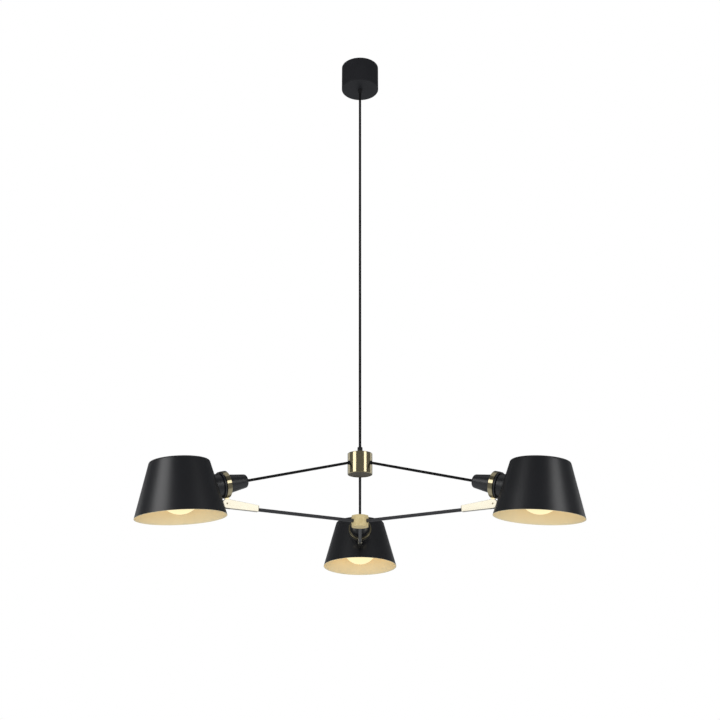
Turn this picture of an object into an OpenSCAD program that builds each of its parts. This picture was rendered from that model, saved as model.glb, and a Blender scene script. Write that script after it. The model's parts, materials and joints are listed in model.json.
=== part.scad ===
// Three-head pendant ceiling light. A canopy carries one cord, a brass hub on that cord carries
// three taut arm cords, and each arm cord holds a socket cup with a conical shade. A spider of rods
// round a lower hub keeps the heads apart. The ceiling is z = 0 and the lamp hangs below it.

/* [Ceiling canopy] */
// Outer diameter of the canopy cup
canopy_d = 100; // [94:1:120]
// Height of the canopy cup
canopy_h = 70; // [60:1:90]
// Sheet thickness of the canopy cup
canopy_wall = 1.2; // [1:0.1:2]
// Distance between the ceiling screws' slots
slot_spacing = 56; // [50:1:60]

/* [Suspension] */
// Ceiling to the level where the arm cords leave the hub
drop = 1126; // [600:1:1600]
// Diameter of every cord
cord_d = 6.4; // [5.8:0.1:6.6]

/* [Hub] */
// Diameter of the brass hub
hub_d = 60; // [56:1:66]
// Height of the brass hub
hub_h = 52; // [48:1:60]

/* [Spider] */
// Level of the rods below the arm cords' exits
rod_drop = 139; // [134:1:146]
// Diameter of the rods
rod_d = 8; // [7:0.5:9]
// Diameter of the lower hub
lower_d = 40; // [36:1:44]
// Height of the lower hub
lower_h = 27; // [24:1:32]
// Length of each brass bar
bar_l = 88; // [80:1:94]
// Width of each brass bar
bar_w = 10; // [9.6:0.2:12]
// Height of the bar where the rod enters it
bar_h = 14.5; // [13.5:0.5:16]
// Height of the bar at its knuckle
knuckle_h = 20.5; // [19:0.5:21]

/* [Socket cups] */
// Radius from the lamp's axis to the centres of the clamp rings
reach = 349; // [340:1:370]
// Slope of the arm cords and of the socket cups below the horizontal
cup_tilt = 16; // [15:0.5:17]
// Outer diameter of the clamp ring
ring_d = 61; // [59:0.5:62]
// Width of the clamp ring along the cup's axis
ring_w = 12; // [10:0.5:13]
// Clamp ring's middle to the shade's wall, along the cup's axis
wall_s = 23.8; // [22:0.1:26]
// Clamp ring's middle to the tip of the cup's cone
tip_s = 55; // [52:0.5:60]

/* [Shades] */
// Diameter of the shade's rim
rim_d = 200; // [190:1:210]
// Diameter of the shade's top
top_d = 132; // [126:1:140]
// Height of the shade
shade_h = 123; // [118:1:130]
// Sheet thickness of the shade
sheet = 1.2; // [1:0.1:1.6]
// Radius of the bend between the shade's wall and its top
shade_bend = 5; // [4:0.5:8]
// Lean of the shade, with its outer side lower
shade_tilt = 5; // [3:0.5:7]
// Rim to the cup's axis, up the slope of the wall
seat = 72.8; // [70:0.2:75]

/* [Bulbs] */
// Diameter of the globe
globe_d = 95; // [80:1:98]

/* [Hidden] */

$fn = 96;
// Azimuth of each head round the lamp's axis
RIGHT = -30;
BACK = 90;
LEFT = 210;
ARMS = [RIGHT, BACK, LEFT];

// Finishes
BLACK = "#26282b";
CORD_BLACK = "#111214";
NYLON = "#1c1d1f";
BRASS = "#a98f55";
PALE_BRASS = "#e2cf9a";
STEEL = "#b9bcc0";
IVORY = "#e9e6da";
FROSTED = "#fff3d6";

// Clearances: running fits, the air between bodies that turn, and seats within one body
run = 0.05;
air = 0.3;
seat_gap = 0.05;
eps = 0.01;

// Levels and radii of the structure
hub_z = -drop;
hub_r = hub_d / 2;
hub_top = hub_z + hub_h / 2;
hub_bottom = hub_z - hub_h / 2;
hub_wall = 2.5;
hub_lid = 3;
rod_z = hub_z - rod_drop;
lower_r = lower_d / 2;
ring_z = hub_z - (reach - hub_r) * tan(cup_tilt);
bar_end = reach + 3;
bar_start = bar_end - bar_l;
bar_low = rod_d / 2 + 1;
pivot_r = bar_end - knuckle_h / 2;
pivot_z = rod_z - bar_low + knuckle_h / 2;
rod_inner = 6;
rod_seat = 28;

// Canopy fittings
canopy_r = canopy_d / 2;
plate_t = 2;
plate_w = 22;
slot_w = 5.5;
slot_l = 16;
ear_h = 16;
ear_x = canopy_r - canopy_wall - 1.8;
canopy_screw_d = 4;
canopy_screw_z = -10;
grip_d = 10;
grip_l = 12;
pole_pitch = 10;
block_w = 18;
block_h = 14;
screw_y = 4;
screw_d = 4.2;
cord_top = -40;

// Hub fittings
core_r = 22;
core_top = hub_z + 13;
base_t = 3;
base_z = hub_bottom + 0.8;
bush_d = 10;
cord_core_r = 17;

// Bore sizes that the cords pass through
cord_bore = cord_d + 2 * run;
cord_loose = cord_d + 1;

// Knuckle
pin_d = 4;
lug_w = 5;
fork_w = lug_w + 2 * air;
lug_eye = 7;
grub_d = 4;

// Socket cup, along its axis from the clamp ring's middle, positive towards the shade
half_ring = ring_w / 2;
journal_r = 25;
flange_r = ring_d / 2 - 0.5;
flange_end = half_ring + air + 5;
barrel_r = 27;
holder_r = 20;
ledge_s = 8;
ledge_r = holder_r + 0.2;
shoulder_r = 20.8;
neck_bore_r = 21;
lip_r = 26.5;
lip_start = -half_ring - air;
lip_t = 2;
cone_r = 21.5;
cone_tip_r = 15.5;
tip_round = 5.5;
spigot_end = -0.3;
spigot_r = 18;
holder_rear = -26;
holder_mouth = 41;

// Bulb
globe_r = globe_d / 2;
glass = 1;
bulb_neck_r = 16;
neck_fillet = 30;
thread_r = 13;
socket_r = 13.5;
cap_l = 27;

// Shade cone
taper = atan((rim_d - top_d) / 2 / shade_h);
seat_r = rim_d / 2 - seat * sin(taper);
seat_h = seat * cos(taper);
globe_s = wall_s + seat_r / cos(cup_tilt - shade_tilt);
bulb_neck_s = globe_s - sqrt(pow(globe_r + neck_fillet, 2) - pow(bulb_neck_r + neck_fillet, 2));

function wall_r(h, inset) = rim_d / 2 - h * tan(taper) - inset / cos(taper);

// Frame of one arm: x runs outwards along the arm
module at_arm(az) {
    rotate([0, 0, az])
        children();
}

// Frame of one clamp ring: x runs along the cup's axis into the shade
module at_ring(az) {
    at_arm(az)
        translate([reach, 0, ring_z])
            rotate([0, cup_tilt, 0])
                children();
}

// Frame of one cup's axis for turned pieces: z runs along the axis into the shade
module on_cup_axis(az) {
    at_ring(az)
        rotate([0, 90, 0])
            children();
}

// Frame of one shade: z runs up the shade's axis from the middle of its rim
module at_shade(az) {
    at_ring(az)
        translate([wall_s, 0, 0])
            rotate([0, shade_tilt - cup_tilt, 0])
                translate([seat_r, 0, -seat_h])
                    children();
}

// Side view of one arm, from radius and level, drawn thick across the arm
module arm_side(az, thick) {
    at_arm(az)
        rotate([90, 0, 0])
            linear_extrude(thick, center = true)
                children();
}

// Turned disc or tube between two stations on its axis
module turned(from, to, r, bore_r = 0) {
    translate([0, 0, from])
        difference() {
            cylinder(h = to - from, r = r);
            if (bore_r > 0)
                translate([0, 0, -eps])
                    cylinder(h = to - from + 2 * eps, r = bore_r);
        }
}

// Half section of a disc with rounded outer corners
module round_disc(r, h, corner) {
    square([r - corner, h]);
    translate([0, corner])
        square([r, h - 2 * corner]);
    translate([r - corner, corner])
        circle(corner);
    translate([r - corner, h - corner])
        circle(corner);
}

// Ceiling group

module slot_hole(x) {
    run_out = (slot_l - slot_w) / 2;
    translate([x, 0, -plate_t / 2]) {
        cube([2 * run_out, slot_w, plate_t + 1], center = true);
        for (side = [-1, 1])
            translate([side * run_out, 0, 0])
                cylinder(h = plate_t + 1, d = slot_w, center = true);
    }
}

module ceiling_plate() color(STEEL) {
    difference() {
        union() {
            translate([-ear_x, -plate_w / 2, -plate_t])
                cube([2 * ear_x, plate_w, plate_t]);
            for (side = [-1, 1])
                translate([side * (ear_x - plate_t / 2), 0, -ear_h / 2])
                    cube([plate_t, plate_w, ear_h], center = true);
        }
        for (side = [-1, 1])
            slot_hole(side * slot_spacing / 2);
        translate([0, 0, canopy_screw_z])
            rotate([0, 90, 0])
                cylinder(h = canopy_d, d = canopy_screw_d, center = true);
    }
}

module canopy_cup() color(BLACK) {
    corner = 2;
    difference() {
        rotate_extrude()
            difference() {
                translate([0, -canopy_h])
                    round_disc(canopy_r, canopy_h + corner, corner);
                translate([0, canopy_wall - canopy_h])
                    round_disc(canopy_r - canopy_wall, canopy_h + corner, corner - canopy_wall);
                square([canopy_d, 2 * corner]);
            }
        translate([0, 0, -canopy_h - 1])
            cylinder(h = canopy_wall + 2, d = grip_d);
        translate([0, 0, canopy_screw_z])
            rotate([0, 90, 0])
                cylinder(h = canopy_d + 2, d = canopy_screw_d, center = true);
    }
}

// Headless screws, flush with the canopy's skin, each with a slot for the driver
module canopy_screws() color(NYLON) {
    inner = ear_x - plate_t - 1;
    outer = canopy_r - 0.4;
    for (turn = [0, 180])
        rotate([0, 0, turn])
            difference() {
                translate([inner, 0, canopy_screw_z])
                    rotate([0, 90, 0])
                        cylinder(h = outer - inner, d = canopy_screw_d);
                translate([outer, 0, canopy_screw_z])
                    cube([2, 0.8, canopy_screw_d + 1], center = true);
            }
}

// Nylon cord grip: a nut inside the canopy and a tapered sleeve below it
module cord_grip() color(NYLON) {
    nut_d = 17;
    nut_h = 6;
    collar = 4;
    floor_z = canopy_wall - canopy_h;
    difference() {
        union() {
            translate([0, 0, floor_z])
                cylinder(h = nut_h, d = nut_d, $fn = 6);
            translate([0, 0, -canopy_h])
                cylinder(h = canopy_wall + eps, d = grip_d);
            translate([0, 0, -canopy_h - collar])
                cylinder(h = collar, d = grip_d + 2);
            translate([0, 0, -canopy_h - grip_l])
                cylinder(h = grip_l - collar, d1 = cord_d + 3, d2 = grip_d);
        }
        translate([0, 0, -canopy_h - grip_l - 1])
            cylinder(h = grip_l + canopy_wall + nut_h + 2, d = cord_bore);
    }
}

// Three-pole terminal block under the plate, with its clamp screws facing down
module terminal_block() color(IVORY) {
    tower_h = 4;
    difference() {
        union() {
            translate([-1.5 * pole_pitch, -block_w / 2, tower_h - plate_t - block_h])
                cube([3 * pole_pitch, block_w, block_h - tower_h]);
            for (pole = [-1:1])
                translate([pole * pole_pitch, 0, tower_h - plate_t - block_h])
                    cube([pole_pitch - 2, block_w - 3, 2 * tower_h], center = true);
        }
        for (pole = [-1:1], side = [-1, 1]) {
            translate([pole * pole_pitch, side * screw_y, -plate_t - block_h - 1])
                cylinder(h = block_h / 2 + 1, d = screw_d + 0.2);
            translate([pole * pole_pitch, side * block_w / 2, -plate_t - block_h / 2])
                rotate([90, 0, 0])
                    cylinder(h = 2 * (block_w / 2 - 1), d = 3.4, center = true);
        }
    }
}

module terminal_screws() color(BRASS) {
    for (pole = [-1:1], side = [-1, 1])
        translate([pole * pole_pitch, side * screw_y, 2 - plate_t - block_h])
            difference() {
                cylinder(h = 3, d = screw_d);
                cube([5, 0.8, 1.6], center = true);
            }
}

// Pendant group

module main_cord() color(CORD_BLACK) {
    low = core_top - 6;
    translate([0, 0, low])
        cylinder(h = cord_top - low, d = cord_d);
}

// Black bush that the cord comes down through, with a round shoulder on the hub
module hub_gland() color(NYLON) {
    shoulder_d = 12.5;
    shoulder_h = 16;
    shank_d = 9.9;
    shank_l = hub_lid + 4;
    difference() {
        union() {
            translate([0, 0, hub_top])
                rotate_extrude()
                    round_disc(shoulder_d / 2, shoulder_h, 1.5);
            translate([0, 0, hub_top - shank_l])
                cylinder(h = shank_l + eps, d = shank_d);
        }
        translate([0, 0, hub_top - 20])
            cylinder(h = 40, d = cord_bore);
    }
}

// One arm cord's axis where it leaves the hub: z runs outwards along the cord
module on_cord_exit(az) {
    at_arm(az)
        translate([hub_r, 0, hub_z])
            rotate([0, 90 + cup_tilt, 0])
                children();
}

module hub_body() color(BRASS) {
    edge = 1.5;
    difference() {
        rotate_extrude()
            difference() {
                translate([0, hub_bottom])
                    round_disc(hub_r, hub_h, edge);
                translate([0, hub_bottom - 1])
                    square([hub_r - hub_wall, hub_h - hub_lid + 1]);
            }
        translate([0, 0, hub_top - hub_lid - 1])
            cylinder(h = hub_lid + 2, d = 10);
        for (az = ARMS)
            on_cord_exit(az)
                cylinder(h = 16, d = bush_d, center = true);
    }
}

module hub_base() color(BRASS) {
    difference() {
        translate([0, 0, base_z])
            cylinder(h = base_t, r = hub_r - hub_wall - seat_gap);
        translate([0, 0, base_z - 1])
            cylinder(h = base_t + 2, d = 4.4);
        translate([0, 0, base_z - eps])
            cylinder(h = 2, d1 = 8.4, d2 = 4.4);
    }
}

// Countersunk screw that pulls the base against the connector inside
module hub_screw() color(BRASS) {
    head = 2;
    difference() {
        translate([0, 0, base_z]) {
            cylinder(h = head, d1 = 8.2, d2 = 4);
            cylinder(h = base_t + 8, d = 4);
        }
        translate([0, 0, base_z])
            cube([9, 1, 1.6], center = true);
    }
}

// Connector inside the hub: a moulded puck with one socket for each cord
module hub_core() color(IVORY) {
    core_bottom = base_z + base_t;
    difference() {
        translate([0, 0, core_bottom])
            cylinder(h = core_top - core_bottom, r = core_r);
        translate([0, 0, core_bottom - 1])
            cylinder(h = 12, d = 4);
        translate([0, 0, core_top - 8])
            cylinder(h = 9, d = cord_loose);
        for (az = ARMS)
            on_cord_exit(az)
                translate([0, 0, -hub_r + cord_core_r - 4])
                    cylinder(h = hub_r, d = cord_loose);
    }
}

// Nylon bush in each cord exit, with a thin collar outside the hub
module hub_bushes() color(NYLON) {
    for (az = ARMS)
        difference() {
            on_cord_exit(az)
                translate([0, 0, -hub_wall - 2])
                    cylinder(h = hub_wall + 3.2, d = bush_d - 0.1);
            on_cord_exit(az)
                cylinder(h = 30, d = cord_bore, center = true);
        }
}

// Taut cord from the connector in the hub to the back of the lampholder, on the cup's axis
module arm_cord(az) color(CORD_BLACK) {
    along = (reach - hub_r) / cos(cup_tilt);
    from = cord_core_r - hub_r;
    on_cord_exit(az)
        translate([0, 0, from])
            cylinder(h = along + holder_rear + 5 - from, d = cord_d);
}

// Spider group

module on_rod_axis(az) {
    at_arm(az)
        translate([0, 0, rod_z])
            rotate([0, 90, 0])
                children();
}

module lower_hub() color(PALE_BRASS) {
    mouth = 2;
    difference() {
        translate([0, 0, rod_z - lower_h / 2])
            rotate_extrude()
                round_disc(lower_r, lower_h, 0.8);
        for (az = ARMS) {
            on_rod_axis(az)
                translate([0, 0, rod_inner - 1])
                    cylinder(h = lower_r, d = rod_d);
            on_rod_axis(az)
                translate([0, 0, lower_r - mouth])
                    cylinder(h = mouth + 1, d = rod_d + 2);
            at_arm(az)
                translate([lower_r * 0.6, 0, rod_z - lower_h / 2 - 1])
                    cylinder(h = lower_h / 2, d = grub_d);
        }
    }
}

// Grub screws that hold the rods in the lower hub from below
module lower_hub_screws() color(STEEL) {
    low = rod_z - lower_h / 2 + 1;
    for (az = ARMS)
        at_arm(az)
            translate([lower_r * 0.6, 0, low])
                difference() {
                    cylinder(h = rod_z - rod_d / 2 - low - seat_gap, d = grub_d);
                    translate([0, 0, -eps])
                        cylinder(h = 1.5, d = 2.2, $fn = 6);
                }
}

module rod(az) color(BLACK) {
    on_rod_axis(az)
        translate([0, 0, rod_inner])
            cylinder(h = bar_start + rod_seat - rod_inner, d = rod_d);
}

// Brass bar: flat underside, rising top, chamfered rod end, round knuckle with a fork for the ring's lug
module bar(az) color(BRASS) {
    chamfer = 1.5;
    fork_l = knuckle_h / 2 + 9.5;
    low = rod_z - bar_low;
    knuckle_r = knuckle_h / 2;
    edge = [bar_start + chamfer, low + bar_h];
    run_up = [pivot_r, pivot_z] - edge;
    slope = atan(run_up.y / run_up.x) + asin(knuckle_r / norm(run_up));
    difference() {
        intersection() {
            arm_side(az, bar_w) {
                polygon([
                    [bar_start, low + chamfer], [bar_start + chamfer, low],
                    [pivot_r, low], [pivot_r, pivot_z],
                    [pivot_r - knuckle_r * sin(slope), pivot_z + knuckle_r * cos(slope)],
                    edge, [bar_start, low + bar_h - chamfer]
                ]);
                translate([pivot_r, pivot_z])
                    circle(knuckle_r);
            }
            at_arm(az)
                translate([0, 0, rod_z - knuckle_h])
                    linear_extrude(2 * knuckle_h)
                        polygon([
                            [bar_start, chamfer - bar_w / 2], [bar_start + chamfer, -bar_w / 2],
                            [bar_end + 1, -bar_w / 2], [bar_end + 1, bar_w / 2],
                            [bar_start + chamfer, bar_w / 2], [bar_start, bar_w / 2 - chamfer]
                        ]);
        }
        at_arm(az)
            translate([bar_end - fork_l, -fork_w / 2, rod_z - knuckle_h])
                cube([fork_l + 1, fork_w, 2 * knuckle_h]);
        arm_side(az, bar_w + 2)
            translate([pivot_r, pivot_z])
                circle(d = pin_d);
        on_rod_axis(az)
            translate([0, 0, bar_start - 1])
                cylinder(h = rod_seat + 1, d = rod_d);
        at_arm(az)
            translate([bar_start + rod_seat / 2, 0, rod_z])
                cylinder(h = knuckle_h, d = grub_d);
    }
}

// Grub screws in the bars' tops, against the rods
module bar_screws() color(STEEL) {
    length = bar_h - bar_low - rod_d / 2 - seat_gap;
    for (az = ARMS)
        at_arm(az)
            translate([bar_start + rod_seat / 2, 0, rod_z + rod_d / 2 + seat_gap])
                difference() {
                    cylinder(h = length, d = grub_d);
                    translate([0, 0, length - 1.5])
                        cylinder(h = 2, d = 2.2, $fn = 6);
                }
}

// Pins of the knuckles, ground flush with the bars' cheeks
module knuckle_pins() color(BRASS) {
    for (az = ARMS)
        arm_side(az, bar_w)
            translate([pivot_r, pivot_z])
                circle(d = pin_d);
}

// Head group

// Brass ring round the cup, with the lug that drops into the bar's fork
module clamp_ring(az) color(BRASS) {
    chamfer = 0.8;
    root_r = ring_d / 2 - 2.5;
    root_w = 4;
    foot = [reach - root_r * sin(cup_tilt), ring_z - root_r * cos(cup_tilt)];
    across = [root_w * cos(cup_tilt), -root_w * sin(cup_tilt)];
    difference() {
        union() {
            on_cup_axis(az)
                rotate_extrude()
                    polygon([
                        [journal_r, -half_ring], [ring_d / 2 - chamfer, -half_ring],
                        [ring_d / 2, chamfer - half_ring], [ring_d / 2, half_ring - chamfer],
                        [ring_d / 2 - chamfer, half_ring], [journal_r, half_ring]
                    ]);
            arm_side(az, lug_w) {
                polygon([
                    foot - across, foot + across,
                    [pivot_r + lug_eye, pivot_z], [pivot_r - lug_eye, pivot_z]
                ]);
                translate([pivot_r, pivot_z])
                    circle(lug_eye);
            }
        }
        arm_side(az, lug_w + 2)
            translate([pivot_r, pivot_z])
                circle(d = pin_d + 2 * run);
    }
}

module shade_solid(az, inset) {
    at_shade(az)
        rotate_extrude()
            cone_section(inset);
}

// Half section of the shade as a solid cone, with its skin moved in by inset
module cone_section(inset) {
    height = shade_h - inset;
    bend = shade_bend - inset;
    bend_z = height - bend;
    bend_r = wall_r(bend_z, inset) - bend / cos(taper);
    polygon([
        [0, 0], [wall_r(0, inset), 0],
        [bend_r + bend * cos(taper), bend_z + bend * sin(taper)],
        [bend_r, bend_z], [bend_r, height], [0, height]
    ]);
    translate([bend_r, bend_z])
        circle(bend);
}

// Turned neck: journal in the clamp ring, flange beside it, barrel cut to the shade's cone
module neck(az) color(BLACK) {
    round_edge = 1.5;
    flange_start = half_ring + air;
    difference() {
        on_cup_axis(az) {
            turned(lip_start, flange_start + eps, journal_r - run, neck_bore_r);
            translate([0, 0, flange_start])
                rotate_extrude()
                    difference() {
                        round_disc(flange_r, flange_end - flange_start, round_edge);
                        square([ledge_r, flange_end]);
                    }
            turned(flange_end - 1, wall_s + 8, barrel_r, ledge_r);
        }
        on_cup_axis(az)
            turned(lip_start - 1, ledge_s, neck_bore_r);
        shade_solid(az, -seat_gap);
    }
}

// Conical cover behind the ring, screwed into the neck, with the cord's hole in its round tip
module cup_cone(az) color(BLACK) {
    lip_end = lip_start - lip_t;
    shoulder = tip_round - tip_s;
    tip_r = cone_tip_r - tip_round;
    side = [cone_r - tip_r, lip_end - shoulder];
    lean = atan(side.x / side.y) - asin(tip_round / norm(side));
    cavity_r = 12.5;
    on_cup_axis(az)
        rotate_extrude()
            difference() {
                union() {
                    polygon([
                        [0, -tip_s], [tip_r, -tip_s], [tip_r, shoulder],
                        [tip_r + tip_round * cos(lean), shoulder - tip_round * sin(lean)],
                        [cone_r, lip_end], [lip_r, lip_end],
                        [lip_r, lip_start], [neck_bore_r - seat_gap, lip_start],
                        [neck_bore_r - seat_gap, spigot_end], [0, spigot_end]
                    ]);
                    translate([tip_r, shoulder])
                        circle(tip_round);
                }
                polygon([
                    [0, 1], [spigot_r, 1], [spigot_r, lip_end - 4], [cavity_r, shoulder + 2],
                    [cord_loose / 2, shoulder + 2], [cord_loose / 2, -tip_s - 1], [0, -tip_s - 1]
                ]);
            }
}

// Lampholder with a screw shell, a shoulder on the neck's ledge and a terminal chamber behind
module lampholder(az) color(NYLON) {
    rear_r = 15;
    chamber = holder_mouth - cap_l - 2;
    on_cup_axis(az)
        difference() {
            union() {
                turned(holder_rear, eps, rear_r);
                turned(0, ledge_s, shoulder_r);
                turned(ledge_s - eps, holder_mouth, holder_r);
            }
            turned(chamber, holder_mouth + 1, socket_r);
            turned(holder_rear - 1, holder_rear + 8, cord_loose / 2);
        }
}

// Sprung centre contact on the floor of the screw shell
module contact(az) color(BRASS) {
    floor_s = holder_mouth - cap_l - 2;
    on_cup_axis(az)
        turned(floor_s, floor_s + 0.8, 5);
}

// Threaded ring inside the shade, its back cut to the cone and its edge notched for the fingers
module shade_ring(az) color(NYLON) {
    ring_r = 26;
    notches = 12;
    difference() {
        intersection() {
            on_cup_axis(az)
                turned(wall_s - 6, wall_s + 12, ring_r, holder_r + run);
            shade_solid(az, sheet + seat_gap);
        }
        on_cup_axis(az)
            for (i = [0:notches - 1])
                rotate([0, 0, i * 360 / notches])
                    translate([ring_r + 0.5, 0, wall_s + 6])
                        cylinder(h = 10, r = 2);
    }
}

// Spun steel shade with a closed top, and the lampholder's hole in its inner wall
module shade(az) color(BLACK) {
    difference() {
        at_shade(az)
            rotate_extrude()
                difference() {
                    cone_section(0);
                    cone_section(sheet);
                }
        on_cup_axis(az)
            turned(wall_s - 12, wall_s + 14, ledge_r + 0.1);
    }
}

// Half section of the globe and its flared neck, with the skin moved in by inset
module globe_section(inset) {
    fillet = neck_fillet + inset;
    reach_r = bulb_neck_r + neck_fillet;
    lean = asin(reach_r / (globe_r + neck_fillet));
    skin = globe_r - inset;
    intersection() {
        translate([0, globe_s])
            circle(skin);
        translate([0, globe_s - globe_d])
            square([globe_d, 2 * globe_d]);
    }
    difference() {
        polygon([
            [0, bulb_neck_s], [bulb_neck_r - inset, bulb_neck_s],
            [skin * sin(lean), globe_s - skin * cos(lean)], [0, globe_s - skin * cos(lean)]
        ]);
        translate([reach_r, bulb_neck_s])
            circle(fillet);
    }
}

// Frosted glass globe, open at its neck
module globe(az) color(FROSTED) {
    on_cup_axis(az)
        rotate_extrude()
            difference() {
                globe_section(0);
                globe_section(glass);
            }
}

// Screw cap of the bulb, closed by its contact
module bulb_cap(az) color(STEEL) {
    collar = bulb_neck_s - holder_mouth - 0.5;
    shell_end = holder_mouth - cap_l + 3;
    wall = 1;
    on_cup_axis(az)
        difference() {
            union() {
                turned(bulb_neck_s - collar, bulb_neck_s, bulb_neck_r);
                turned(shell_end, bulb_neck_s - collar + eps, thread_r);
                translate([0, 0, shell_end - 3])
                    cylinder(h = 3 + eps, r1 = 4.5, r2 = thread_r - 2);
            }
            turned(shell_end + wall, bulb_neck_s + 1, thread_r - wall);
        }
}

ceiling_plate();
canopy_cup();
canopy_screws();
cord_grip();
terminal_block();
terminal_screws();
main_cord();
hub_gland();
hub_body();
hub_base();
hub_core();
hub_screw();
hub_bushes();
arm_cord(RIGHT);  // arm_cord_right
arm_cord(BACK);  // arm_cord_back
arm_cord(LEFT);  // arm_cord_left
lower_hub();
lower_hub_screws();
rod(RIGHT);  // rod_right
rod(BACK);  // rod_back
rod(LEFT);  // rod_left
bar(RIGHT);  // bar_right
bar(BACK);  // bar_back
bar(LEFT);  // bar_left
bar_screws();
knuckle_pins();
clamp_ring(RIGHT);  // clamp_ring_right
clamp_ring(BACK);  // clamp_ring_back
clamp_ring(LEFT);  // clamp_ring_left
neck(RIGHT);  // neck_right
neck(BACK);  // neck_back
neck(LEFT);  // neck_left
cup_cone(RIGHT);  // cup_cone_right
cup_cone(BACK);  // cup_cone_back
cup_cone(LEFT);  // cup_cone_left
lampholder(RIGHT);  // lampholder_right
lampholder(BACK);  // lampholder_back
lampholder(LEFT);  // lampholder_left
contact(RIGHT);  // contact_right
contact(BACK);  // contact_back
contact(LEFT);  // contact_left
shade_ring(RIGHT);  // shade_ring_right
shade_ring(BACK);  // shade_ring_back
shade_ring(LEFT);  // shade_ring_left
shade(RIGHT);  // shade_right
shade(BACK);  // shade_back
shade(LEFT);  // shade_left
globe(RIGHT);  // globe_right
globe(BACK);  // globe_back
globe(LEFT);  // globe_left
bulb_cap(RIGHT);  // bulb_cap_right
bulb_cap(BACK);  // bulb_cap_back
bulb_cap(LEFT);  // bulb_cap_left
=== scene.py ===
import json
import math

import bmesh
import bpy
from mathutils import Matrix, Vector


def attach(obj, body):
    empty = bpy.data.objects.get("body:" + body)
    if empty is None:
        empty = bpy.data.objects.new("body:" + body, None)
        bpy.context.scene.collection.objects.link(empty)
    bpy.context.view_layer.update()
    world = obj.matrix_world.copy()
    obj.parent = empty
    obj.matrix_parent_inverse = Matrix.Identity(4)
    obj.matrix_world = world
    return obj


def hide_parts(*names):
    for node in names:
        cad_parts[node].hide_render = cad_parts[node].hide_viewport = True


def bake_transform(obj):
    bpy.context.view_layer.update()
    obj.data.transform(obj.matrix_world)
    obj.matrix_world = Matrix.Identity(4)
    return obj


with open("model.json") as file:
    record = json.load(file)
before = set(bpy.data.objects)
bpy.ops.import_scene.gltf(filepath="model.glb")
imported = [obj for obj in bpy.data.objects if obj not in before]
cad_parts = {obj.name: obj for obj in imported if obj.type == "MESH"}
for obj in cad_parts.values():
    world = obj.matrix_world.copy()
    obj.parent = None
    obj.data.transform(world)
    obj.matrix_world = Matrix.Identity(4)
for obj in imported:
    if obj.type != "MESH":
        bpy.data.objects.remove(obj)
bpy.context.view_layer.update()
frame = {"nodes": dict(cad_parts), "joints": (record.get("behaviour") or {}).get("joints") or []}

# Camera: it stands in front of the lamp, lower than the shades, and looks up at it.
# The lamp's axis is in the middle of the picture, with the two front heads left and right.
CAMERA_AT, CAMERA_PITCH = (0.0, -2.492, -1.761), math.radians(109.9)
SENSOR_W, FOCAL = 36.0, 53.1
scene = bpy.context.scene
scene.view_settings.view_transform = "Standard"


def placed(name, data):
    thing = bpy.data.objects.new(name, data)
    scene.collection.objects.link(thing)
    return thing


lens = bpy.data.cameras.new("camera")
lens.sensor_width = SENSOR_W
lens.lens = FOCAL
camera = placed("camera", lens)
camera.location = CAMERA_AT
camera.rotation_euler = (CAMERA_PITCH, 0.0, 0.0)
scene.camera = camera

# Ceiling plate: a strap of zinc-plated steel, pressed and bent, with slots for two ceiling screws.
# Its ears take the canopy's screws. The zinc has a faint spangle and is a little dull.
NOISE_LOW, NOISE_HIGH = 0.3, 0.7
BUMP_DEPTH = 0.0003
FINISH_IN = [
    ("Scale", "NodeSocketFloat"), ("Grain", "NodeSocketFloat"),
    ("Color Low", "NodeSocketColor"), ("Color High", "NodeSocketColor"),
    ("Rough Low", "NodeSocketFloat"), ("Rough High", "NodeSocketFloat"),
]
FINISH_OUT = [
    ("Color", "NodeSocketColor"), ("Roughness", "NodeSocketFloat"), ("Height", "NodeSocketFloat"),
]


def node_group(name, inputs, outputs):
    group = bpy.data.node_groups.new(name, "ShaderNodeTree")
    for socket, kind in inputs:
        group.interface.new_socket(socket, in_out="INPUT", socket_type=kind)
    for socket, kind in outputs:
        group.interface.new_socket(socket, in_out="OUTPUT", socket_type=kind)
    start = group.nodes.new("NodeGroupInput")
    end = group.nodes.new("NodeGroupOutput")
    return group, group.nodes, group.links, start.outputs, end.inputs


def noise(nodes, links, place, scale, detail, dimensions="3D"):
    texture = nodes.new("ShaderNodeTexNoise")
    texture.noise_dimensions = dimensions
    texture.inputs["Detail"].default_value = detail
    links.new(place, texture.inputs["W" if dimensions == "1D" else "Vector"])
    links.new(scale, texture.inputs["Scale"])
    return texture.outputs["Fac"]


def ranged(nodes, links, value, *ends):
    """Spreads the middle of a noise over 0 to 1, or over the two ends given."""
    spread = nodes.new("ShaderNodeMapRange")
    spread.inputs["From Min"].default_value = NOISE_LOW
    spread.inputs["From Max"].default_value = NOISE_HIGH
    links.new(value, spread.inputs["Value"])
    for socket, end in zip(("To Min", "To Max"), ends):
        links.new(end, spread.inputs[socket])
    return spread.outputs["Result"]


def blended(nodes, links, factor, low, high):
    """Mixes two colours. The node's colours are its inputs 6 and 7 and its output 2."""
    mix = nodes.new("ShaderNodeMix")
    mix.data_type = "RGBA"
    links.new(factor, mix.inputs[0])
    links.new(low, mix.inputs[6])
    links.new(high, mix.inputs[7])
    return mix.outputs[2]


def put_out(nodes, links, given, out, tone, grain):
    """Puts out a colour that follows tone, and a roughness and a height that follow grain."""
    colour = blended(nodes, links, ranged(nodes, links, tone), given["Color Low"], given["Color High"])
    links.new(colour, out["Color"])
    links.new(ranged(nodes, links, grain, given["Rough Low"], given["Rough High"]), out["Roughness"])
    links.new(grain, out["Height"])


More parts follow.
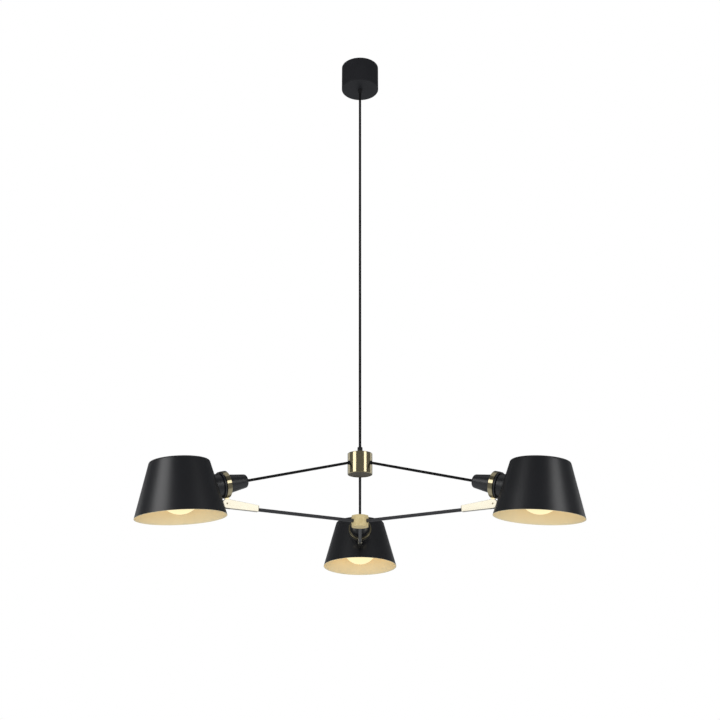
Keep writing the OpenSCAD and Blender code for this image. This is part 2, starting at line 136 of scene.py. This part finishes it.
def mottled_group():
    group, nodes, links, given, out = node_group("mottled", FINISH_IN, FINISH_OUT)
    place = nodes.new("ShaderNodeTexCoord").outputs["Object"]
    patches = noise(nodes, links, place, given["Scale"], detail=4.0)
    grain = noise(nodes, links, place, given["Grain"], detail=2.0)
    put_out(nodes, links, given, out, patches, grain)
    return group


def finish(name, group, values, bump=0.0, metallic=0.0, **sockets):
    mat = bpy.data.materials.new(name)
    mat.use_nodes = True
    nodes, links = mat.node_tree.nodes, mat.node_tree.links
    shader = nodes["Principled BSDF"]
    surface = nodes.new("ShaderNodeGroup")
    surface.node_tree = group
    for key, value in values.items():
        surface.inputs[key].default_value = value
    links.new(surface.outputs["Color"], shader.inputs["Base Color"])
    links.new(surface.outputs["Roughness"], shader.inputs["Roughness"])
    if bump:
        relief = nodes.new("ShaderNodeBump")
        relief.inputs["Strength"].default_value = bump
        relief.inputs["Distance"].default_value = BUMP_DEPTH
        links.new(surface.outputs["Height"], relief.inputs["Height"])
        links.new(relief.outputs["Normal"], shader.inputs["Normal"])
    shader.inputs["Metallic"].default_value = metallic
    for key, value in sockets.items():
        shader.inputs[key.replace("_", " ")].default_value = value
    return mat


def dress(mat, *names):
    for name in names:
        slots = frame["nodes"][name].data.materials
        slots.clear()
        slots.append(mat)


mottled = mottled_group()
zinc = finish("zinc", mottled, {
    "Scale": 180.0, "Grain": 900.0,
    "Color Low": (0.42, 0.43, 0.44, 1), "Color High": (0.58, 0.58, 0.57, 1),
    "Rough Low": 0.32, "Rough High": 0.46,
}, bump=0.05, metallic=1.0)
dress(zinc, "ceiling_plate")

# Terminal block: three ivory plastic towers moulded in one, under the plate, with two plated clamp
# screws in each. The connector inside the hub is moulded from the same plastic.
ivory = finish("ivory_plastic", mottled, {
    "Scale": 60.0, "Grain": 700.0,
    "Color Low": (0.70, 0.67, 0.57, 1), "Color High": (0.76, 0.73, 0.64, 1),
    "Rough Low": 0.30, "Rough High": 0.42,
}, bump=0.04)
dress(ivory, "terminal_block", "hub_core")
dress(zinc, "terminal_screws")

# Canopy: a deep cup drawn from steel sheet and powder coated satin black, over the plate.
# Two headless screws through its wall hold it to the plate's ears.
black_coat = finish("black_coat", mottled, {
    "Scale": 25.0, "Grain": 900.0,
    "Color Low": (0.0096, 0.0100, 0.0126, 1), "Color High": (0.0124, 0.0129, 0.0158, 1),
    "Rough Low": 0.46, "Rough High": 0.54,
}, bump=0.03, Specular_IOR_Level=0.3)
dress(black_coat, "canopy_cup", "canopy_screws")

# Cord grip and hub gland: black nylon mouldings that clamp the main cord under the canopy and on
# the hub. Bushes of the same nylon line the hub's side holes, where the arm cords come out.
nylon = finish("black_nylon", mottled, {
    "Scale": 120.0, "Grain": 1800.0,
    "Color Low": (0.008, 0.008, 0.009, 1), "Color High": (0.013, 0.013, 0.014, 1),
    "Rough Low": 0.42, "Rough High": 0.55,
}, bump=0.08)
dress(nylon, "cord_grip", "hub_gland", "hub_bushes")

# Main cord: round three-core cable in a smooth black sheath, pulled straight by the lamp's weight.
# It goes up through the grip into the canopy and down through the gland into the hub.
sheath = finish("cord_sheath", mottled, {
    "Scale": 90.0, "Grain": 1100.0,
    "Color Low": (0.003, 0.003, 0.0034, 1), "Color High": (0.005, 0.005, 0.0055, 1),
    "Rough Low": 0.60, "Rough High": 0.72,
}, Specular_IOR_Level=0.25)
dress(sheath, "main_cord")

# Conductors: the cable's own three wires, stripped of the sheath above the grip and led with some
# slack into the front of the terminal block.
WIRE_R, WIRE_SIDES, WIRE_STEPS = 0.0011, 12, 32
CORE_R, CORD_END_Z, TUCK = 0.0012, -0.040, 0.001
POLE_PITCH, POLE_Y, POLE_Z = 0.010, -0.0075, -0.009
RISE, LEAD_IN = Vector((0, 0, 0.018)), Vector((0, -0.0225, 0))
WIRES = (
    ("brown", (0.085, 0.036, 0.018, 1), (0.11, 0.046, 0.024, 1)),
    ("green", (0.10, 0.19, 0.035, 1), (0.14, 0.23, 0.05, 1)),
    ("blue", (0.025, 0.07, 0.22, 1), (0.035, 0.09, 0.27, 1)),
)


def solid(name, bm):
    mesh = bpy.data.meshes.new(name)
    bm.to_mesh(mesh)
    bm.free()
    return placed(name, mesh)


def tube(name, points, radius, sides=16):
    bm = bmesh.new()
    turns = [2 * math.pi * k / sides for k in range(sides)]
    spokes = [Vector((radius * math.cos(turn), radius * math.sin(turn), 0)) for turn in turns]
    rings = []
    for i, point in enumerate(points):
        before, after = points[max(i - 1, 0)], points[min(i + 1, len(points) - 1)]
        facing = (after - before).normalized().to_track_quat("Z", "Y").to_matrix()
        rings.append([bm.verts.new(point + facing @ spoke) for spoke in spokes])
    for one, two in zip(rings, rings[1:]):
        for k in range(sides):
            n = (k + 1) % sides
            bm.faces.new((one[k], one[n], two[n], two[k])).smooth = True
    bm.faces.new(reversed(rings[0]))
    bm.faces.new(rings[-1])
    return solid(name, bm)


def bend(start, leave, arrive, end, steps):
    """Points of one smooth bend that sets off towards leave and comes in from arrive."""
    points = []
    for i in range(steps + 1):
        t = i / steps
        s = 1 - t
        points.append(start * s ** 3 + leave * (3 * t * s ** 2) + arrive * (3 * t * t * s) + end * t ** 3)
    return points


for pole, (tone, low, high) in enumerate(WIRES):
    turn = 2 * math.pi * pole / len(WIRES)
    start = Vector((CORE_R * math.cos(turn), CORE_R * math.sin(turn), CORD_END_Z - TUCK))
    end = Vector(((pole - 1) * POLE_PITCH, POLE_Y, POLE_Z))
    route = bend(start, start + RISE, end + LEAD_IN, end, WIRE_STEPS)
    wire = tube("conductor_" + tone, route, WIRE_R, WIRE_SIDES)
    wire.data.materials.append(finish("wire_" + tone, mottled, {
        "Scale": 150.0, "Grain": 900.0, "Color Low": low, "Color High": high,
        "Rough Low": 0.35, "Rough High": 0.45,
    }, bump=0.02))
    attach(wire, "canopy")

# Hub: a short can turned from brass tube, brushed round its axis, aged dark and lacquered.
# A plate of the same metal closes it from below, held by one countersunk screw.
UP = Vector((0.0, 0.0, 1.0))
LINE_SHARE = 0.45


def brushed_group():
    group, nodes, links, given, out = node_group(
        "brushed", FINISH_IN + [("Axis", "NodeSocketVector")], FINISH_OUT)
    place = nodes.new("ShaderNodeTexCoord").outputs["Object"]
    along = nodes.new("ShaderNodeVectorMath")
    along.operation = "DOT_PRODUCT"
    links.new(place, along.inputs[0])
    links.new(given["Axis"], along.inputs[1])
    lines = noise(nodes, links, along.outputs["Value"], given["Grain"], detail=3.0, dimensions="1D")
    stain = noise(nodes, links, place, given["Scale"], detail=3.0)
    rest = nodes.new("ShaderNodeMath")
    rest.operation = "MULTIPLY"
    rest.inputs[1].default_value = 1 - LINE_SHARE
    links.new(stain, rest.inputs[0])
    both = nodes.new("ShaderNodeMath")
    both.operation = "MULTIPLY_ADD"
    both.inputs[1].default_value = LINE_SHARE
    links.new(lines, both.inputs[0])
    links.new(rest.outputs[0], both.inputs[2])
    put_out(nodes, links, given, out, both.outputs[0], lines)
    return group


brushed = brushed_group()
antique = {
    "Scale": 70.0, "Grain": 1500.0,
    "Color Low": (0.56, 0.475, 0.275, 1), "Color High": (0.63, 0.54, 0.32, 1),
    "Rough Low": 0.11, "Rough High": 0.16,
}
lacquer = {"Coat_Weight": 1.0, "Coat_Roughness": 0.1}
hub_brass = finish("hub_brass", brushed, {**antique, "Axis": UP}, metallic=1.0, **lacquer)
dress(hub_brass, "hub_body")
# The plate and its screw get a far darker brass colour than the can: painted shade under the hub.
base_brass_painted_shade = finish("base_brass_painted_shade", mottled, {
    "Scale": 55.0, "Grain": 500.0,
    "Color Low": (0.225, 0.20, 0.155, 1), "Color High": (0.275, 0.245, 0.19, 1),
    "Rough Low": 0.38, "Rough High": 0.48,
}, bump=0.02, metallic=1.0)
dress(base_brass_painted_shade, "hub_base", "hub_screw")

# Arm cords: three lengths of the same cable, drawn tight from the hub to the tips of the socket cups.
HEADS = ("right", "back", "left")
CORD_R, CORD_STEPS = 0.0032, 60
CORD_FROM, CORD_TO = -0.34486, -0.021
joint = {hinge["name"]: hinge for hinge in frame["joints"]}


def hinge_line(name):
    """The middle of a hinge, and the way that its axis points."""
    return Vector(joint[name]["pos_m"]), Vector(joint[name]["axis"])


for head in HEADS:
    ring_at, axis = hinge_line("head_swivel_" + head)
    reach = [CORD_FROM + (CORD_TO - CORD_FROM) * i / CORD_STEPS for i in range(CORD_STEPS + 1)]
    cord = tube("arm_cord_sheath_" + head, [ring_at + axis * s for s in reach], CORD_R)
    cord.data.materials.append(sheath)
    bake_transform(cord)
    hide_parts("arm_cord_" + head)

# Lower hub: a thick disc cast in brass, blasted matt and pale, and bored for the three rods.
# A grub screw from below holds each rod.
pale_brass = finish("pale_brass", mottled, {
    "Scale": 160.0, "Grain": 420.0,
    "Color Low": (0.64, 0.51, 0.25, 1), "Color High": (0.73, 0.61, 0.33, 1),
    "Rough Low": 0.52, "Rough High": 0.64,
}, bump=0.12, metallic=0.4)
dress(pale_brass, "lower_hub")
dress(zinc, "lower_hub_screws")

# Rods: drawn steel rod, powder coated black; its colour is set paler than the canopy's as a painted sheen.
# Each is pushed into the lower hub at one end and into a bar at the other.
# The paler black colours below are painted sheen, not a paler paint.
rod_coat_painted_sheen = finish("rod_coat_painted_sheen", mottled, {
    "Scale": 40.0, "Grain": 900.0,
    "Color Low": (0.021, 0.0215, 0.0245, 1), "Color High": (0.026, 0.0265, 0.030, 1),
    "Rough Low": 0.44, "Rough High": 0.52,
}, bump=0.03)
dress(rod_coat_painted_sheen, "rod_right", "rod_back", "rod_left")

# Bars: brass bar milled to a taper, linished along its length and fixed on its rod by a grub screw.
# The outer end is forked, and an aged pin through the fork carries the clamp ring's lug.
BAR_HALF, PIN_CLEAR = 0.005, 0.003
EASE, EASE_STEPS, EASE_PROFILE = 0.0005, 2, 0.5
WELD, ON_FACE = 1e-6, 1e-5
FLAT_TO, CORNER_FROM, BAR_SHARP = math.radians(0.5), math.radians(35), math.radians(40)


def smooth_solid(name, bm, sharp_from):
    for face in bm.faces:
        face.smooth = True
    piece = solid(name, bm)
    piece.data.set_sharp_from_angle(angle=sharp_from)
    return piece


bar_brass = finish("bar_brass", brushed, {
    **antique, "Color Low": (0.49, 0.455, 0.365, 1), "Color High": (0.52, 0.485, 0.39, 1), "Axis": UP,
}, metallic=1.0)
for head in HEADS:
    pin_at, cheek = hinge_line("head_tilt_" + head)
    bm = bmesh.new()
    bm.from_mesh(frame["nodes"]["bar_" + head].data)
    bmesh.ops.remove_doubles(bm, verts=bm.verts, dist=WELD)
    bmesh.ops.dissolve_limit(bm, angle_limit=FLAT_TO, verts=bm.verts, edges=bm.edges)
    eased = []
    for edge in bm.edges:
        offset = (edge.verts[0].co + edge.verts[1].co) / 2 - pin_at
        on_cheek = abs(abs(offset.dot(cheek)) - BAR_HALF) < ON_FACE
        off_pin = offset.cross(cheek).length > PIN_CLEAR
        if on_cheek and off_pin and edge.calc_face_angle(0) > CORNER_FROM:
            eased.append(edge)
    bmesh.ops.bevel(bm, geom=eased, offset=EASE, offset_type="OFFSET", segments=EASE_STEPS,
                    profile=EASE_PROFILE, affect="EDGES", clamp_overlap=False)
    bar = smooth_solid("bar_eased_" + head, bm, BAR_SHARP)
    bar.modifiers.new("weighted", "WEIGHTED_NORMAL").keep_sharp = True
    bar.data.materials.append(bar_brass)
    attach(bar, "pendant")
    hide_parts("bar_" + head)
pin_brass = finish("pin_brass", mottled, {
    "Scale": 90.0, "Grain": 700.0,
    "Color Low": (0.36, 0.305, 0.185, 1), "Color High": (0.43, 0.37, 0.23, 1),
    "Rough Low": 0.36, "Rough High": 0.44,
}, bump=0.02, metallic=1.0)
dress(pin_brass, "knuckle_pins")
dress(zinc, "bar_screws")

# Clamp rings: brass rings round the socket cups, turned, brushed and lacquered like the hub.
# A lug at the bottom of each drops into the bar's fork and turns on its pin.
for head in HEADS:
    ring_grain = {**antique, "Axis": joint["head_swivel_" + head]["axis"]}
    ring_brass = finish("ring_brass_" + head, brushed, ring_grain, metallic=1.0, **lacquer)
    dress(ring_brass, "clamp_ring_" + head)

# Socket cups: a neck and a cone turned from aluminium and sprayed satin black like the shades.
# The lampholder, its contact and the ring that clamps the shade are inside.
satin_black = finish("satin_black", mottled, {
    "Scale": 18.0, "Grain": 900.0,
    "Color Low": (0.0036, 0.0040, 0.0058, 1), "Color High": (0.0046, 0.0051, 0.0073, 1),
    "Rough Low": 0.35, "Rough High": 0.39,
}, bump=0.01, Specular_IOR_Level=1.0)
for head in HEADS:
    dress(satin_black, "neck_" + head, "cup_cone_" + head)
    dress(nylon, "lampholder_" + head, "shade_ring_" + head)
    dress(zinc, "contact_" + head)

# Shades: cones spun from steel sheet with a closed top, satin black outside and cream inside.
# The cream wraps round the cut edge of the rim, and a hole in the wall takes the lampholder.
RIM_R, TOP_R, SHADE_H = 0.100, 0.066, 0.123
SHEET, TOP_BEND_R = 0.0012, 0.005
LEAN, CUP_TILT = math.radians(5.0), math.radians(16.0)
HOLE_R, RIM_TO_HOLE, RING_TO_WALL = 0.0203, 0.0728, 0.0238
LIP_WALL, LIP_OUT, LIP_IN = Vector((-0.00008, 0.0004)), Vector((-0.0003, 0.0001)), Vector((0.0003, 0.0001))
SHADE_SIDES, WALL_STEPS, BEND_STEPS, TOP_STEPS, SEEK_STEPS = 160, 34, 8, 4, 8
SHADE_SHARP = math.radians(50)
TAPER = math.atan((RIM_R - TOP_R) / SHADE_H)
CUP_SPOT = Vector((RIM_TO_HOLE * math.sin(TAPER) - RIM_R, 0.0, RIM_TO_HOLE * math.cos(TAPER)))
CUP_AXIS = Vector((math.cos(CUP_TILT - LEAN), 0.0, -math.sin(CUP_TILT - LEAN)))


def skin(inset):
    """Points of the cone's half section from the rim to the middle of its top, moved in by inset."""
    height, bend_r = SHADE_H - inset, TOP_BEND_R - inset
    bend_h = height - bend_r
    bend_x = RIM_R - bend_h * math.tan(TAPER) - (inset + bend_r) / math.cos(TAPER)
    rim = Vector((RIM_R - inset / math.cos(TAPER), 0.0))
    knee = Vector((bend_x + bend_r * math.cos(TAPER), bend_h + bend_r * math.sin(TAPER)))
    points = [rim.lerp(knee, i / WALL_STEPS) for i in range(WALL_STEPS)]
    for i in range(BEND_STEPS + 1):
        angle = TAPER + (math.pi / 2 - TAPER) * i / BEND_STEPS
        points.append(Vector((bend_x + bend_r * math.cos(angle), bend_h + bend_r * math.sin(angle))))
    points += [Vector((bend_x * k / TOP_STEPS, height)) for k in range(TOP_STEPS - 1, 0, -1)]
    return points


def from_cup_axis(point):
    offset = point - CUP_SPOT
    return offset - CUP_AXIS * offset.dot(CUP_AXIS)


def on_hole_edge(point, inset):
    """The spot on the hole's edge nearest the point, in the wall that is moved in by inset."""
    wall_r = RIM_R - inset / math.cos(TAPER)
    spot = CUP_SPOT + from_cup_axis(point).normalized() * HOLE_R
    for _ in range(SEEK_STEPS):
        spot += CUP_AXIS * (math.hypot(spot.x, spot.y) + spot.z * math.tan(TAPER) - wall_r)
    return spot


def spun_cone(name, outline, sides, cream_from):
    """Spins the outline, which has as many points inside as outside: ring last - i lies inside ring i."""
    bm = bmesh.new()
    turns = [2 * math.pi * k / sides for k in range(sides)]
    rings = []
    for r, h in outline:
        rings.append([bm.verts.new((r * math.cos(turn), r * math.sin(turn), h)) for turn in turns])
    last = len(rings) - 1
    hole = set()
    for i in range(cream_from):
        for k in range(sides):
            middle = (rings[i][k].co + rings[i + 1][(k + 1) % sides].co) / 2
            if middle.x < 0 and from_cup_axis(middle).length < HOLE_R:
                hole.add((i, k))
    for i in range(last):
        near, far = rings[i], rings[i + 1]
        for k in range(sides):
            if (i, k) not in hole and (last - 1 - i, k) not in hole:
                n = (k + 1) % sides
                face = bm.faces.new((near[k], near[n], far[n], far[k]))
                face.material_index = 1 if i >= cream_from else 0
    edge = set()
    for i, k in hole:
        borders = (
            ((i - 1, k), (i, k), (i, k + 1)), ((i + 1, k), (i + 1, k), (i + 1, k + 1)),
            ((i, k - 1), (i, k), (i + 1, k)), ((i, k + 1), (i, k + 1), (i + 1, k + 1)),
        )
        for beside, one, two in borders:
            if beside not in hole:
                (a, m), (b, n) = one, two
                bm.faces.new((rings[a][m], rings[b][n], rings[last - b][n], rings[last - a][m]))
                edge.update((one, two))
    for i, k in edge:
        rings[i][k].co = on_hole_edge(rings[i][k].co, 0.0)
        rings[last - i][k].co = on_hole_edge(rings[last - i][k].co, SHEET)
    bm.faces.new(rings[0])
    bm.faces.new(rings[-1]).material_index = 1
    bmesh.ops.delete(bm, geom=[vert for vert in bm.verts if not vert.link_faces], context="VERTS")
    bmesh.ops.recalc_face_normals(bm, faces=bm.faces)
    return smooth_solid(name, bm, SHADE_SHARP)


cream = finish("shade_cream", mottled, {
    "Scale": 22.0, "Grain": 900.0,
    "Color Low": (0.555, 0.525, 0.365, 1), "Color High": (0.59, 0.56, 0.40, 1),
    "Rough Low": 0.40, "Rough High": 0.50,
}, bump=0.02)
outer, inner = skin(0.0), skin(SHEET)
rim_middle = Vector((RIM_R - 0.5 * SHEET / math.cos(TAPER), 0.0))
lip = [outer[0] + LIP_WALL, outer[0] + LIP_OUT, rim_middle, inner[0] + LIP_IN, inner[0] + LIP_WALL]
wall = outer[:0:-1]
outline = wall + lip + inner[1:]
for head in HEADS:
    ring_at, axis = hinge_line("head_swivel_" + head)
    out = Vector((axis.x, axis.y, 0.0)).normalized()
    side = out * math.cos(LEAN) - UP * math.sin(LEAN)
    top = out * math.sin(LEAN) + UP * math.cos(LEAN)
    turned = Matrix((side, top.cross(side), top)).transposed()
    seat = ring_at + axis * RING_TO_WALL - turned @ CUP_SPOT
    shade = spun_cone("shade_skin_" + head, outline, SHADE_SIDES, cream_from=len(wall))
    shade.data.transform(Matrix.Translation(seat) @ turned.to_4x4())
    shade.data.materials.append(satin_black)
    shade.data.materials.append(cream)
    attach(shade, "head_" + head)
    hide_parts("shade_" + head)

# Bulbs: globes of frosted glass with rolled metal caps, screwed into the lampholders.
# The glass glows warm white all over, and the bulb's own light falls on the cream round it.
GLOBE_R, LIGHT_CLEAR = 0.0475, 0.001
RING_TO_GLOBE = RING_TO_WALL - CUP_SPOT.x / math.cos(CUP_TILT - LEAN)
BULB_COLOUR, BULB_POWER = (1.0, 0.44, 0.04), 0.15
frosted = finish("frosted_glass", mottled, {
    "Scale": 30.0, "Grain": 600.0,
    "Color Low": (0.115, 0.115, 0.085, 1), "Color High": (0.135, 0.13, 0.10, 1),
    "Rough Low": 0.42, "Rough High": 0.52,
}, bump=0.02, Emission_Strength=0.85, Emission_Color=(1.0, 0.89, 0.52, 1))
for head in HEADS:
    dress(frosted, "globe_" + head)
    dress(zinc, "bulb_cap_" + head)
    ring_at, axis = hinge_line("head_swivel_" + head)
    light = bpy.data.lights.new("bulb_light_" + head, "POINT")
    light.color = BULB_COLOUR
    light.energy = BULB_POWER
    light.shadow_soft_size = GLOBE_R + LIGHT_CLEAR
    light.use_soft_falloff = False
    bulb_light = placed("bulb_light_" + head, light)
    bulb_light.location = ring_at + axis * RING_TO_GLOBE
    bulb_light.visible_camera = bulb_light.visible_glossy = False
    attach(bulb_light, "head_" + head)

# Studio: a pale floor below the lamp, two soft boxes beside it, one overhead and a broad fill in front.
# Dark and grey flats that glow evenly lie just over the floor and stand round and above the lamp,
# so that its metal and paint have something to mirror. Only reflections show them.
FLOOR_Z, FLOOR_HALF = -2.35, 14.0
MIDDLE_Z = -1.2
FLAT_R, FLAT_STEPS, FLAT_GAP = 5.0, 36, 0.02
LIE_BELOW = -14
FLOOR_LEVELS = (-85, -60, -35, -20, -13, -4)
LOW_LEVELS = (-4, 5, 17)


def plane(name, verts, faces):
    mesh = bpy.data.meshes.new(name)
    mesh.from_pydata(verts, [], faces)
    return placed(name, mesh)


def dark_flat(name, levels, middle, reach, glow):
    """A flat through these levels, and to this reach either side of its middle, in degrees."""
    verts = []
    for level in levels:
        rise = math.radians(level)
        away = FLAT_R if level > LIE_BELOW else (MIDDLE_Z - FLOOR_Z - FLAT_GAP) / math.sin(-rise)
        radius, height = away * math.cos(rise), MIDDLE_Z + away * math.sin(rise)
        for k in range(FLAT_STEPS + 1):
            turn = math.radians(middle + reach * (2 * k / FLAT_STEPS - 1))
            verts.append((radius * math.sin(turn), -radius * math.cos(turn), height))
    row = FLAT_STEPS + 1
    faces = [(i * row + k, i * row + k + 1, (i + 1) * row + k + 1, (i + 1) * row + k)
             for i in range(len(levels) - 1) for k in range(FLAT_STEPS)]
    flat = plane(name, verts, faces)
    flat.data.materials.append(finish(name + "_cloth", mottled, {
        "Scale": 2.0, "Grain": 120.0,
        "Color Low": (0.010, 0.010, 0.011, 1), "Color High": (0.014, 0.014, 0.015, 1),
        "Rough Low": 0.8, "Rough High": 0.9,
    }, Emission_Strength=glow, Emission_Color=(0.94, 0.97, 1.0, 1)))
    for ray in ("camera", "diffuse", "shadow", "transmission"):
        setattr(flat, "visible_" + ray, False)
    return flat


corners = [(x * FLOOR_HALF, y * FLOOR_HALF, FLOOR_Z) for x, y in ((-1, -1), (1, -1), (1, 1), (-1, 1))]
floor = plane("floor", corners, [(0, 1, 2, 3)])
floor.data.materials.append(finish("floor_paint", mottled, {
    "Scale": 3.0, "Grain": 300.0,
    "Color Low": (0.78, 0.78, 0.78, 1), "Color High": (0.82, 0.82, 0.81, 1),
    "Rough Low": 0.7, "Rough High": 0.8,
}, bump=0.02))
dark_flat("floor_flat", FLOOR_LEVELS, middle=0, reach=65, glow=0.17)
dark_flat("back_floor_flat", FLOOR_LEVELS, middle=180, reach=115, glow=0.46)
dark_flat("front_flat", LOW_LEVELS, middle=0, reach=114, glow=0.15)
dark_flat("rear_flat", LOW_LEVELS, middle=180, reach=50, glow=0.34)
dark_flat("upper_flat", (17, 26, 35, 50), middle=0, reach=180, glow=0.08)
dark_flat("top_flat", (50, 65, 80, 95), middle=0, reach=180, glow=0.09)


def soft_box(name, spot, size, power):
    light = bpy.data.lights.new(name, "AREA")
    light.shape = "RECTANGLE"
    light.size, light.size_y = size
    light.energy = power
    box = placed(name, light)
    box.location = spot
    box.rotation_euler = (UP * MIDDLE_Z - Vector(spot)).to_track_quat("-Z", "Y").to_euler()
    box.visible_camera = False
    return box


soft_box("left_box", spot=(-1.32, -1.03, -0.58), size=(0.86, 0.85), power=4.6)
soft_box("right_box", spot=(1.26, -1.09, -0.70), size=(0.66, 0.65), power=2.7)
soft_box("top_box", spot=(0.0, 0.0, 1.6), size=(2.0, 2.0), power=3.5)
fill = soft_box("fill", spot=(0.0, -3.2, -1.8), size=(2.4, 0.9), power=12.0)
fill.visible_glossy = False
fill.data.spread = math.radians(90)

# Room: plain white walls outside the picture, which light the lamp evenly from all round.
# Seen directly, mirrored or through glass they are pure white.
ROOM_LIGHT, ROOM_SEEN = 0.9, 1.0
world = bpy.data.worlds.new("studio")
scene.world = world
world.use_nodes = True
nodes, links = world.node_tree.nodes, world.node_tree.links
room, white = nodes["Background"], nodes.new("ShaderNodeBackground")
for walls, strength in ((room, ROOM_LIGHT), (white, ROOM_SEEN)):
    walls.inputs["Color"].default_value = (1.0, 1.0, 1.0, 1)
    walls.inputs["Strength"].default_value = strength
rays = nodes.new("ShaderNodeLightPath")
seen = rays.outputs["Is Camera Ray"]
for ray in ("Is Glossy Ray", "Is Transmission Ray"):
    either = nodes.new("ShaderNodeMath")
    either.operation = "ADD"
    either.use_clamp = True
    links.new(seen, either.inputs[0])
    links.new(rays.outputs[ray], either.inputs[1])
    seen = either.outputs[0]
choice = nodes.new("ShaderNodeMixShader")
links.new(seen, choice.inputs[0])
links.new(room.outputs[0], choice.inputs[1])
links.new(white.outputs[0], choice.inputs[2])
links.new(choice.outputs[0], nodes["World Output"].inputs["Surface"])
